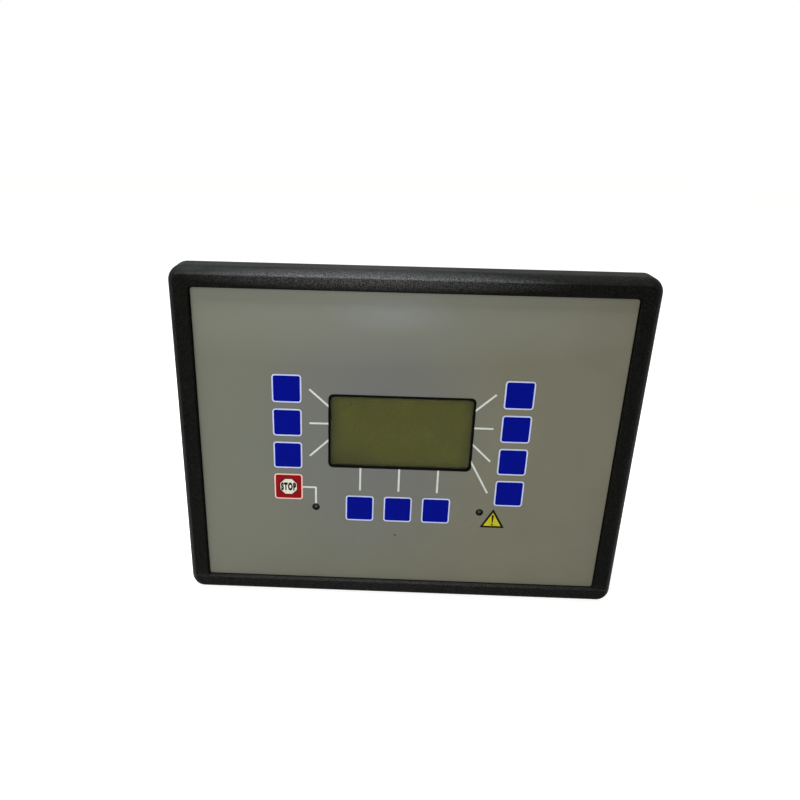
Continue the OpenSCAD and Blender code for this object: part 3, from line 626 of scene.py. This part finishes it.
class CONTROLLER_OT_keys(bpy.types.Operator):
    """Finish the key pads and print their coloured fields"""

    bl_idname = "controller.keys"
    bl_label = "Keys"

    def execute(self, context):
        sizes = context.scene.controller_print
        paint = context.scene.controller_ink
        blue = printed_film("key_blue", paint.key_blue)
        red = printed_film("stop_red", paint.stop_red)
        paint_nodes(printed_film("key_edge", paint.key_edge), *BLUE_KEYS)
        paint_nodes(printed_film("stop_edge", paint.stop_edge), STOP_KEY)
        low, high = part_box(STOP_KEY)
        borders = 2 * sizes.key_border
        stop_field = rounded_plate(
            "stop_key_field", front_middle(STOP_KEY), high.x - low.x - borders, high.z - low.z - borders,
            sizes.corner, sizes.ink_depth)
        for key in BLUE_KEYS:
            field = copy_of(stop_field, key + "_field", middle_of(key) - middle_of(STOP_KEY))
            place_piece(field, key, blue)
        place_piece(stop_field, STOP_KEY, red)
        return {"FINISHED"}


class CONTROLLER_OT_stop_sign(bpy.types.Operator):
    """Print the octagon and the word on the stop key"""

    bl_idname = "controller.stop_sign"
    bl_label = "Stop sign"

    CORNERS = 8
    ROUND_OFF = 0.1 * MM
    # Letters of size 1: outward offset, rounded swelling and its steps, thickness, share of usual spacing
    BOLDNESS = 0.045
    SWELL = 0.027
    SWELL_STEPS = 1
    THICKNESS = 0.01
    SPACING = 1.24

    def execute(self, context):
        sizes = context.scene.controller_print
        paint = context.scene.controller_ink
        ink = sizes.ink_depth
        place = front_middle(STOP_KEY)
        place.y -= ink
        outer = sizes.octagon + 2 * sizes.octagon_line
        line = polygon_plate("stop_sign_line", place, self.CORNERS, outer, ink, self.ROUND_OFF)
        place_piece(line, STOP_KEY, printed_film("sign_line", paint.sign_line))
        place.y -= ink
        sign = polygon_plate("stop_sign", place, self.CORNERS, sizes.octagon, ink, self.ROUND_OFF)
        place_piece(sign, STOP_KEY, printed_film("sign_white", paint.sign_white))
        place.y -= ink
        word = self.word(place, sizes)
        place_piece(word, STOP_KEY, printed_film("word_black", paint.ink_black))
        return {"FINISHED"}

    def word(self, place, sizes):
        """The word on the key, drawn bold and made to its width and height."""
        bpy.ops.object.select_all(action="DESELECT")
        bpy.ops.object.text_add()
        text = bpy.context.active_object
        text.name = "stop_word"
        text.data.body = "STOP"
        text.data.offset = self.BOLDNESS
        text.data.bevel_depth = self.SWELL
        text.data.bevel_resolution = self.SWELL_STEPS
        text.data.space_character = self.SPACING
        text.data.extrude = self.THICKNESS
        bpy.ops.object.convert(target="MESH")
        word = bpy.context.active_object
        width, height, thick = word.dimensions
        bpy.ops.object.origin_set(type="ORIGIN_GEOMETRY", center="BOUNDS")
        word.location = place - Vector((0, sizes.ink_depth / 2, 0))
        word.rotation_euler = (math.pi / 2, 0, 0)
        word.scale = (sizes.word_width / width, sizes.word_height / height, sizes.ink_depth / thick)
        settle(word)
        word.data.name = "stop_word"
        return word


class CONTROLLER_OT_guide_lines(bpy.types.Operator):
    """Print the lines from the display to the keys and from the stop key to its lamp"""

    bl_idname = "controller.guide_lines"
    bl_label = "Guide lines"

    END_HEIGHTS = mm(26.3, 14.8, 3.7, -8.4)
    BOTTOM_GAP = 3.9 * MM
    STOP_GAP = 0.12 * MM
    ELBOW = 0.8 * MM
    TOUCH = 1e-6

    def execute(self, context):
        sizes = context.scene.controller_print
        white = printed_film("line_white", context.scene.controller_ink.line_white)
        lines = [*self.side_lines(sizes, LEFT_KEYS, -1), *self.side_lines(sizes, RIGHT_KEYS, 1)]
        lines += self.bottom_lines(sizes)
        lines.append(self.lamp_line(sizes))
        for line in lines:
            place_piece(line, HOUSING, white)
        return {"FINISHED"}

    def side_lines(self, sizes, keys, side):
        """Lines from one side of the window to its key column, cut along the window's edge."""
        low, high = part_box("display_window")
        edge = high.x if side > 0 else low.x
        front = front_of("front_overlay")
        for key, height in zip(keys, self.END_HEIGHTS):
            key_low, key_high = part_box(key)
            key_edge = key_low.x if side > 0 else key_high.x
            start = Vector((key_edge - side * sizes.line_gap, front, middle_of(key).z))
            end = Vector((edge, front, height))
            past = end + (end - start).normalized() * sizes.line_width
            line = strip(key + "_line", start, past, sizes.line_width, sizes.ink_depth)
            trim(line, (edge, front, 0), (-side, 0, 0))
            yield line

    def bottom_lines(self, sizes):
        """Upright lines from the window's lower edge to the bottom keys, modelled once and copied."""
        first, *others = BOTTOM_KEYS
        x = middle_of(first).x
        front = front_of("front_overlay")
        top = Vector((x, front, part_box("display_window")[0].z))
        end = Vector((x, front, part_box(first)[1].z + self.BOTTOM_GAP))
        line = strip(first + "_line", top, end, sizes.line_width, sizes.ink_depth)
        yield line
        for key in others:
            yield copy_of(line, key + "_line", Vector((middle_of(key).x - x, 0, 0)))

    def lamp_line(self, sizes):
        """The line that leaves the stop key sideways and turns down to its lamp."""
        width = sizes.line_width
        front = front_of("front_overlay")
        lamp = middle_of("stop_lamp")
        start = Vector((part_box(STOP_KEY)[1].x + self.STOP_GAP, front, middle_of(STOP_KEY).z))
        corner = Vector((lamp.x + width / 2, front, start.z))
        obj = flat_start("stop_key_line", bpy.ops.mesh.primitive_plane_add, (start + corner) / 2, size=1)
        obj.scale = (corner.x - start.x, width, 1)
        settle(obj)
        edit(obj)
        bpy.ops.mesh.bisect(plane_co=(lamp.x - width / 2, front, start.z), plane_no=(1, 0, 0))
        below = start.z - width / 2
        pick(obj, "EDGE", lambda m: abs(m.z - below) < self.TOUCH and m.x > lamp.x - width / 2)
        drop = below - (lamp.z + sizes.lamp_hole / 2 + sizes.lamp_line_end)
        bpy.ops.mesh.extrude_region_move(TRANSFORM_OT_translate={"value": (0, 0, -drop)})
        pick(obj, "VERT", lambda m: m.x > lamp.x and m.z > start.z)
        round_corners(self.ELBOW, POINT_STEPS)
        ink_layer(obj, sizes.ink_depth)
        return obj


class CONTROLLER_OT_alarm_mark(bpy.types.Operator):
    """Print the triangle beside the alarm lamp"""

    bl_idname = "controller.alarm_mark"
    bl_label = "Alarm mark"

    RIGHT_OF_LAMP = 8.77 * MM
    BELOW_LAMP = 6.35 * MM
    CORNERS = 3
    LINE_ROUND_OFF = 0.25 * MM
    FIELD_ROUND_OFF = 0.1 * MM
    BAR_WIDTH = 1.45 * MM
    BAR_HEIGHT = 5.6 * MM
    BAR_RISE = 1.9 * MM
    BAR_TAPER = 0.45
    BAR_ROUND_OFF = 0.28 * MM
    DOT_DROP = 2.3 * MM
    DOT_RADIUS = 0.65 * MM
    DOT_CORNERS = 24

    def execute(self, context):
        sizes = context.scene.controller_print
        paint = context.scene.controller_ink
        ink = sizes.ink_depth
        black = printed_film("mark_black", paint.alarm_line)
        place = middle_of("alarm_lamp") + Vector((self.RIGHT_OF_LAMP, 0, -self.BELOW_LAMP))
        place.y = front_of("front_overlay")
        line = polygon_plate(
            "alarm_mark_line", place, self.CORNERS, sizes.triangle, ink, self.LINE_ROUND_OFF)
        place_piece(line, HOUSING, black)
        place.y -= ink
        inner = sizes.triangle - 2 * math.sqrt(3) * sizes.triangle_line
        field = polygon_plate("alarm_mark_field", place, self.CORNERS, inner, ink, self.FIELD_ROUND_OFF)
        place_piece(field, HOUSING, printed_film("alarm_yellow", paint.alarm_yellow))
        place.y -= ink
        place_piece(self.exclamation(place, ink), HOUSING, black)
        return {"FINISHED"}

    def exclamation(self, place, ink):
        """A tapered bar over a round dot."""
        bar_place = place + Vector((0, 0, self.BAR_RISE))
        bar = flat_start("alarm_mark_bar", bpy.ops.mesh.primitive_plane_add, bar_place, size=1)
        bar.scale = (self.BAR_WIDTH, self.BAR_HEIGHT, 1)
        settle(bar)
        edit(bar)
        pick(bar, "EDGE", lambda m: m.z < place.z)
        bpy.ops.transform.resize(value=(self.BAR_TAPER, 1, 1))
        bpy.ops.mesh.select_all(action="SELECT")
        round_corners(self.BAR_ROUND_OFF, POINT_STEPS)
        ink_layer(bar, ink)
        dot_place = place - Vector((0, 0, self.DOT_DROP))
        dot = disc_start("alarm_mark_dot", dot_place, self.DOT_CORNERS, self.DOT_RADIUS)
        settle(dot)
        edit(dot)
        ink_layer(dot, ink)
        return join("alarm_mark_sign", [bar, dot])


class CONTROLLER_OT_display(bpy.types.Operator):
    """Finish the window, its dark border and the display behind it"""

    bl_idname = "controller.display"
    bl_label = "Display"

    LEDGE = 1.2 * MM
    PANE_CLEAR = (0.96, 0.97, 0.94)
    PANE_IOR = 1.15
    METAL_BLACK = srgb(20, 20, 19)
    GUIDE_WHITE = srgb(228, 228, 218)
    # Grey of the display's border, with painted shadow of the window's recess
    EDGE_SHADE_GREY = srgb(48, 46, 17)
    # Axis, whether at its low end, and width of each band along the window's edges where the display turns
    # greyer: its greyer border with painted shadow of the window's recess
    SHADE_BANDS = (("X", True, 10 * MM), ("X", False, 9 * MM), ("Z", True, 7 * MM), ("Z", False, 6 * MM))
    # Middle and reach, sideways and up, and colour of each smudge
    SMUDGES = (
        (mm(14, 9.3), mm(5, 3.5), srgb(76, 78, 32)),
        (mm(-33.5, -10.5), mm(20, 14), srgb(48, 48, 14)))

    def execute(self, context):
        sizes = context.scene.controller_print
        paint = context.scene.controller_ink
        pane = Finish("window_pane", self.PANE_CLEAR, roughness=0.06, specular=0.5)
        pane.set("Transmission Weight", 1.0)
        pane.set("IOR", self.PANE_IOR)
        pane.bump(pane.noise(25 * MM, detail=1.0), depth=0.002 * MM, strength=0.1)
        paint_nodes(pane.material, "display_window")
        low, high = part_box("display_window")
        width, height = high.x - low.x, high.z - low.z
        band = 2 * sizes.window_border
        border = rounded_ring(
            "window_border", front_middle("display_window"), (width, height, sizes.window_corner),
            (width - band, height - band, sizes.border_corner), sizes.ink_depth)
        black = printed_film("border_black", paint.ink_black, roughness=0.4, specular=0.02)
        place_piece(border, HOUSING, black)
        olive = self.olive(paint.display, low, high)
        paint_nodes(olive, "display_cell")
        self.front_film(sizes, olive, low, high)
        metal = smooth_moulding("display_black", self.METAL_BLACK, roughness=0.5, specular=0.3)
        paint_nodes(metal, "display_frame")
        paint_nodes(smooth_moulding("light_guide", self.GUIDE_WHITE, roughness=0.3), "display_back_light")
        return {"FINISHED"}

    def front_film(self, sizes, olive, low, high):
        """The display's front film, close behind the pane and inside its ledge."""
        inset = self.LEDGE + sizes.film_room
        place = middle_of("display_window")
        place.y = high.y + sizes.film_room + sizes.film_depth
        film = rounded_plate(
            "display_front_film", place, high.x - low.x - 2 * inset, high.z - low.z - 2 * inset,
            sizes.window_corner - inset, sizes.film_depth)
        place_piece(film, HOUSING, olive)

    def olive(self, base, low, high):
        """Olive of a display that is switched off: mottled, smudged and greyer along its edges, where
        shadow of the window's recess is painted.
        """
        cell = Finish("display_olive", base, roughness=0.5, specular=0.02)
        mottling = cell.noise(2.4 * MM, detail=5.0, roughness=0.75)
        shade = cell.tint(mottling, darker=0.66, lighter=1.3, start=0.36, end=0.64)
        for middle, reach, smudge in self.SMUDGES:
            shade = cell.mix(cell.spot(middle, reach), shade, smudge)
        self.shade_edges(cell, shade, low, high)
        return cell.material

    def shade_edges(self, cell, olive, low, high):
        """Lets the olive turn greyer over a narrow band along the window's edges: the display's greyer
        border with painted shadow of the window's recess.
        """
        split = cell.tree.nodes.new("ShaderNodeSeparateXYZ")
        cell.link(cell.place, split.inputs["Vector"])
        share = None
        for axis, near, band in self.SHADE_BANDS:
            edge = (low if near else high)["XYZ".index(axis)]
            fade = cell.tree.nodes.new("ShaderNodeMapRange")
            fade.interpolation_type = "SMOOTHSTEP"
            fade.inputs["From Min"].default_value = edge
            fade.inputs["From Max"].default_value = edge + band if near else edge - band
            cell.link(split.outputs[axis], fade.inputs["Value"])
            if share is None:
                share = fade.outputs["Result"]
                continue
            both = cell.tree.nodes.new("ShaderNodeMath")
            both.operation = "MULTIPLY"
            cell.link(share, both.inputs[0])
            cell.link(fade.outputs["Result"], both.inputs[1])
            share = both.outputs["Value"]
        cell.mix(share, self.EDGE_SHADE_GREY, olive)


class CONTROLLER_OT_lamps(bpy.types.Operator):
    """Finish the two smoked indicator lamps and lay a dark ring around each"""

    bl_idname = "controller.lamps"
    bl_label = "Lamps"

    ROOM = 0.02 * MM
    RING_CORNERS = 48
    LENS_GREY = srgb(74, 70, 60)
    RING_BLACK = srgb(9, 9, 7)

    def execute(self, context):
        sizes = context.scene.controller_print
        lens = Finish("lamp_lens", self.LENS_GREY, roughness=0.3, specular=0.15)
        lens.tint(lens.noise(1.2 * MM), darker=0.75, lighter=1.2)
        paint_nodes(lens.material, "stop_lamp", "alarm_lamp")
        black = smooth_moulding("lamp_ring", self.RING_BLACK, roughness=0.5, specular=0.06)
        ring = self.ring(sizes)
        shift = middle_of("alarm_lamp") - middle_of("stop_lamp")
        place_piece(copy_of(ring, "alarm_lamp_ring", shift), HOUSING, black)
        place_piece(ring, HOUSING, black)
        return {"FINISHED"}

    def ring(self, sizes):
        """A flat collar in the lamp's hole, level with the overlay's face."""
        place = middle_of("stop_lamp")
        place.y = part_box("front_overlay")[1].y
        collar = disc_start("stop_lamp_ring", place, self.RING_CORNERS, sizes.lamp_hole / 2 - self.ROOM)
        settle(collar)
        edit(collar)
        leave_rim(collar, sizes.lamp_ring)
        ink_layer(collar, place.y - front_of("front_overlay"))
        return collar


class CONTROLLER_OT_electronics(bpy.types.Operator):
    """Finish the boards and what they carry"""

    bl_idname = "controller.electronics"
    bl_label = "Electronics"

    COMPONENT_BLACK = srgb(32, 32, 33)
    RELAY_BLUE = srgb(36, 62, 140)
    CORE_GREY = srgb(92, 90, 88)
    SLEEVE_BLUE = srgb(34, 40, 78)
    COPPER = srgb(184, 112, 62)
    RIBBON_GREY = srgb(152, 152, 156)
    WIRE_PITCH = 1.27 * MM

    def execute(self, context):
        paint = context.scene.controller_body
        mask = Finish("solder_mask", paint.board_green, roughness=0.34, specular=0.5)
        tracks = mask.noise(2.2 * MM, detail=1.0, stretch=(6, 1, 1))
        mask.tint(tracks, darker=0.75, lighter=1.25, start=0.48, end=0.54)
        mask.bump(tracks, depth=0.03 * MM, strength=0.5)
        paint_nodes(mask.material, "main_board", "front_board", "display_board")
        black = smooth_moulding("component_black", self.COMPONENT_BLACK, roughness=0.5)
        paint_nodes(
            black, "key_switches", "front_ribbon_socket", "main_ribbon_socket", "processor_chip",
            "service_port")
        paint_nodes(smooth_moulding("relay_blue", self.RELAY_BLUE, roughness=0.3), "output_relays")
        core = Finish("transformer_core", self.CORE_GREY, roughness=0.5, metallic=0.6)
        sheets = core.noise(0.5 * MM, detail=1.0, stretch=(1, 60, 1))
        core.tint(sheets, darker=0.7, lighter=1.1)
        core.bump(sheets, depth=0.05 * MM, strength=0.6)
        paint_nodes(core.material, "measuring_transformers")
        sleeve = smooth_moulding("capacitor_sleeve", self.SLEEVE_BLUE, roughness=0.28)
        paint_nodes(sleeve, "buffer_capacitors")
        paint_nodes(plated_metal("choke_wire", self.COPPER, roughness=0.34), "supply_choke")
        ribbon = Finish("ribbon_grey", self.RIBBON_GREY, roughness=0.5, specular=0.4)
        wires = ribbon.noise(self.WIRE_PITCH, detail=0.0, stretch=(1, 400, 400))
        ribbon.tint(wires, darker=0.8, lighter=1.1)
        ribbon.bump(wires, depth=0.3 * MM, strength=0.8)
        paint_nodes(ribbon.material, "ribbon_cable")
        return {"FINISHED"}


class CONTROLLER_OT_terminals(bpy.types.Operator):
    """Finish the terminal headers, plugs and screws"""

    bl_idname = "controller.terminals"
    bl_label = "Terminals"

    def execute(self, context):
        paint = context.scene.controller_body
        blocks = [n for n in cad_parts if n.endswith("_header") or n.endswith("_plug")]
        paint_nodes(smooth_moulding("terminal_green", paint.terminal_green), *blocks)
        paint_nodes(plated_metal("terminal_zinc", paint.zinc, roughness=0.34), "terminal_screws")
        return {"FINISHED"}


class CONTROLLER_OT_stage(bpy.types.Operator):
    """Set the floor, the lights and the camera"""

    bl_idname = "controller.stage"
    bl_label = "Stage"

    FLOOR_RADIUS = 4.0
    FLOOR_CORNERS = 96
    FLOOR_GAP = 0.2 * MM
    FLOOR_GREY = (0.45, 0.45, 0.45)
    SHADOW_SHARE = 0.12
    WHITE = (1.0, 1.0, 1.0)
    AMBIENT_TINT = (1.0, 0.96, 0.88)
    # Place, width and tint of each soft light
    TOP_LIGHT = (Vector((-0.2, 0.02, 0.75)), 0.5, (0.84, 0.93, 1.0))
    FRONT_LIGHT = (Vector((-0.75, -1.3, 0.6)), 1.1, (1.0, 0.98, 0.94))
    SENSOR_WIDTH = 36.0
    NEAREST = 0.01

    def execute(self, context):
        stage = context.scene.controller_stage
        self.floor()
        self.world(context.scene, stage.ambient)
        self.soft_light("top_light", stage.top_light, *self.TOP_LIGHT)
        self.soft_light("front_light", stage.front_light, *self.FRONT_LIGHT)
        self.camera(context.scene, stage)
        context.scene.view_settings.view_transform = "Standard"
        return {"FINISHED"}

    def seen(self, tree):
        """1 for what the camera sees, straight, mirrored or through glass."""
        path = tree.nodes.new("ShaderNodeLightPath")
        total = path.outputs["Is Camera Ray"]
        for name in ("Is Glossy Ray", "Is Transmission Ray"):
            add = tree.nodes.new("ShaderNodeMath")
            add.operation = "ADD"
            add.use_clamp = True
            tree.links.new(total, add.inputs[0])
            tree.links.new(path.outputs[name], add.inputs[1])
            total = add.outputs["Value"]
        return total

    def floor(self):
        """A white floor that keeps the object's shadow."""
        low = CAD_BOX[0]
        bpy.ops.object.select_all(action="DESELECT")
        bpy.ops.mesh.primitive_circle_add(
            vertices=self.FLOOR_CORNERS, radius=self.FLOOR_RADIUS, fill_type="NGON",
            location=(0, 0, low[2] - self.FLOOR_GAP))
        floor = bpy.context.active_object
        floor.name = "floor"
        settle(floor)
        material = bpy.data.materials.new("floor_white")
        material.use_nodes = True
        tree = material.node_tree
        tree.nodes.clear()
        matte = tree.nodes.new("ShaderNodeBsdfDiffuse")
        matte.inputs["Color"].default_value = (*self.FLOOR_GREY, 1)
        glow = tree.nodes.new("ShaderNodeEmission")
        share = tree.nodes.new("ShaderNodeMath")
        share.operation = "MULTIPLY"
        share.inputs[1].default_value = 1 - self.SHADOW_SHARE
        tree.links.new(self.seen(tree), share.inputs[0])
        tree.links.new(share.outputs["Value"], glow.inputs["Strength"])
        both = tree.nodes.new("ShaderNodeAddShader")
        output = tree.nodes.new("ShaderNodeOutputMaterial")
        tree.links.new(matte.outputs["BSDF"], both.inputs[0])
        tree.links.new(glow.outputs["Emission"], both.inputs[1])
        tree.links.new(both.outputs["Shader"], output.inputs["Surface"])
        floor.data.materials.append(material)
        floor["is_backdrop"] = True

    def world(self, scene, ambient):
        """White where it is seen, and a softer light for everything else."""
        world = bpy.data.worlds.new("studio")
        world.use_nodes = True
        tree = world.node_tree
        tree.nodes.clear()
        light = tree.nodes.new("ShaderNodeBackground")
        light.inputs["Color"].default_value = (*self.AMBIENT_TINT, 1)
        light.inputs["Strength"].default_value = ambient
        white = tree.nodes.new("ShaderNodeBackground")
        white.inputs["Color"].default_value = (*self.WHITE, 1)
        white.inputs["Strength"].default_value = 1.0
        mix = tree.nodes.new("ShaderNodeMixShader")
        tree.links.new(self.seen(tree), mix.inputs["Fac"])
        tree.links.new(light.outputs["Background"], mix.inputs[1])
        tree.links.new(white.outputs["Background"], mix.inputs[2])
        output = tree.nodes.new("ShaderNodeOutputWorld")
        tree.links.new(mix.outputs["Shader"], output.inputs["Surface"])
        scene.world = world

    def soft_light(self, name, watts, place, width, tint):
        """A square soft light that looks at the front's middle."""
        bpy.ops.object.light_add(type="AREA", location=place)
        light = bpy.context.active_object
        light.name = name
        light.rotation_euler = (-place).to_track_quat("-Z", "Y").to_euler()
        light.data.size = width
        light.data.energy = watts
        light.data.color = tint

    def camera(self, scene, stage):
        """The camera at the photograph's viewing angle."""
        bpy.ops.object.camera_add(location=stage.camera_place, rotation=stage.camera_turn)
        camera = bpy.context.active_object
        camera.data.sensor_width = self.SENSOR_WIDTH
        camera.data.lens = stage.lens
        camera.data.shift_x = stage.shift_x
        camera.data.shift_y = stage.shift_y
        camera.data.clip_start = self.NEAREST
        scene.camera = camera


OPERATORS = (
    CONTROLLER_OT_casing, CONTROLLER_OT_overlay, CONTROLLER_OT_keys, CONTROLLER_OT_stop_sign,
    CONTROLLER_OT_guide_lines, CONTROLLER_OT_alarm_mark, CONTROLLER_OT_display, CONTROLLER_OT_lamps,
    CONTROLLER_OT_electronics, CONTROLLER_OT_terminals, CONTROLLER_OT_stage)


class CONTROLLER_PT_pieces(bpy.types.Panel):
    """Lists the controller's pieces in the sidebar"""

    bl_idname = "CONTROLLER_PT_pieces"
    bl_label = "Genset controller"
    bl_space_type = "VIEW_3D"
    bl_region_type = "UI"
    bl_category = "Controller"

    def draw(self, context):
        for operator in OPERATORS:
            self.layout.operator(operator.bl_idname)


SETTINGS = {
    "controller_print": PrintSizes,
    "controller_ink": PrintColours,
    "controller_body": BodyColours,
    "controller_stage": StageSettings,
}
CLASSES = (*SETTINGS.values(), *OPERATORS, CONTROLLER_PT_pieces)


def register():
    for cls in CLASSES:
        bpy.utils.register_class(cls)
    for name, group in SETTINGS.items():
        setattr(bpy.types.Scene, name, PointerProperty(type=group))


def unregister():
    for name in SETTINGS:
        delattr(bpy.types.Scene, name)
    for cls in reversed(CLASSES):
        bpy.utils.unregister_class(cls)


def main():
    register()
    for operator in OPERATORS:
        family, piece = operator.bl_idname.split(".")
        getattr(getattr(bpy.ops, family), piece)()
    boxes = {"cad": CAD_BOX, "visual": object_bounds()}
    {name: [list(corner) for corner in box] for name, box in boxes.items()}


if __name__ == "__main__":
    main()
